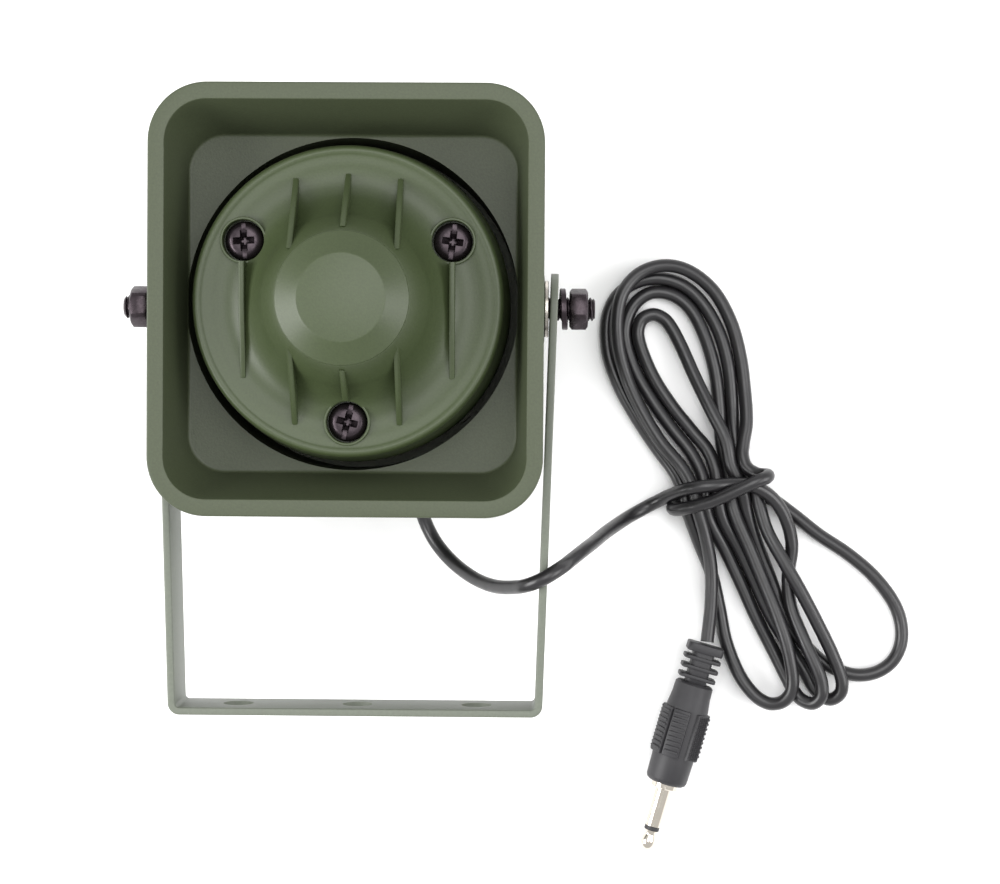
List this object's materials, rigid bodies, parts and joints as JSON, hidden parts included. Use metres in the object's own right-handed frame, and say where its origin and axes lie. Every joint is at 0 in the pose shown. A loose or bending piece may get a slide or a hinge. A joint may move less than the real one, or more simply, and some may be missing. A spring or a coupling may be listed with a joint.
{
  "type": "horn loudspeaker of an electronic game caller",
  "caption": "Small green re-entrant horn speaker on a U-bracket, with a tied black lead ending in a mono jack plug.",
  "frame": {"origin": "on the plane the rear cover rests on, midway between the bracket's foot and the far edge of the mouth's rim, and midway between the side bolts' tips", "axes": "+Z out of the mouth along the horn's axis, +Y from the bracket's foot towards the pivot, +X along the pivot towards the side where the lead lies"},
  "size_m": [0.1726, 0.1631, 0.0786],
  "materials": {
    "green_abs": "moulded ABS, fine matt texture",
    "black_abs": "moulded ABS, satin",
    "black_steel": "black oxide, oiled",
    "painted_bracket": "army green powder coat",
    "zinc_steel": "zinc plated",
    "plain_steel": "turned, bright",
    "ferrite": "sintered ferrite, ground faces",
    "copper": "enamelled copper wire",
    "tag_brass": "tinned brass",
    "film": "phenolic film",
    "surround_film": "moulded rubber",
    "foam": "closed-cell foam",
    "board": "phenolic paper board",
    "lead_pvc": "extruded PVC",
    "red_pvc": "extruded PVC",
    "plug_pvc": "moulded PVC",
    "nickel": "nickel plated brass"
  },
  "bodies": {
    "housing": {"horn_bell": "green_abs", "reflector": "green_abs", "front_screws": "black_steel", "throat_tube": "black_abs", "throat_gasket": "foam", "driver_frame": "black_abs", "surround": "surround_film", "top_plate": "plain_steel", "ring_magnet": "ferrite", "yoke": "plain_steel", "clamp_pad": "foam", "terminal_board": "board", "solder_tags": "tag_brass", "wire_red": "red_pvc", "wire_black": "lead_pvc", "cable_end": "lead_pvc", "cable_gland": "plug_pvc", "rear_cover": "green_abs", "rear_gasket": "foam", "rear_screws": "black_steel", "side_bolt_left": "black_steel", "side_bolt_right": "black_steel", "flat_washer_left": "zinc_steel", "flat_washer_right": "zinc_steel", "spring_washer_left": "black_steel", "spring_washer_right": "black_steel", "lead_run": "lead_pvc", "lead_hank": "lead_pvc", "lead_tail": "lead_pvc", "plug_boot": "plug_pvc", "plug_grip": "plug_pvc", "plug_sleeve": "nickel", "plug_insulator": "plug_pvc", "plug_tip": "nickel"},
    "bracket": {"bracket": "painted_bracket"},
    "nut_left": {"nut_left": "black_steel"},
    "nut_right": {"nut_right": "black_steel"},
    "diaphragm": {"diaphragm": "film", "voice_coil": "copper"}
  },
  "joints": [
    {"name": "bracket_tilt", "type": "hinge", "parent": "housing", "child": "bracket", "pos_m": [0, 0.02167, 0.032], "axis": [1, 0, 0], "range_deg": [0, 180]},
    {"name": "nut_left_turn", "type": "hinge", "parent": "housing", "child": "nut_left", "pos_m": [-0.0465, 0.02167, 0.032], "axis": [1, 0, 0], "continuous": true},
    {"name": "nut_right_turn", "type": "hinge", "parent": "housing", "child": "nut_right", "pos_m": [0.0465, 0.02167, 0.032], "axis": [1, 0, 0], "continuous": true},
    {"name": "diaphragm_travel", "type": "slide", "parent": "housing", "child": "diaphragm", "axis": [0, 0, 1], "range_m": [-0.0004, 0.0004], "stiffness_N_per_m": 600}
  ]
}
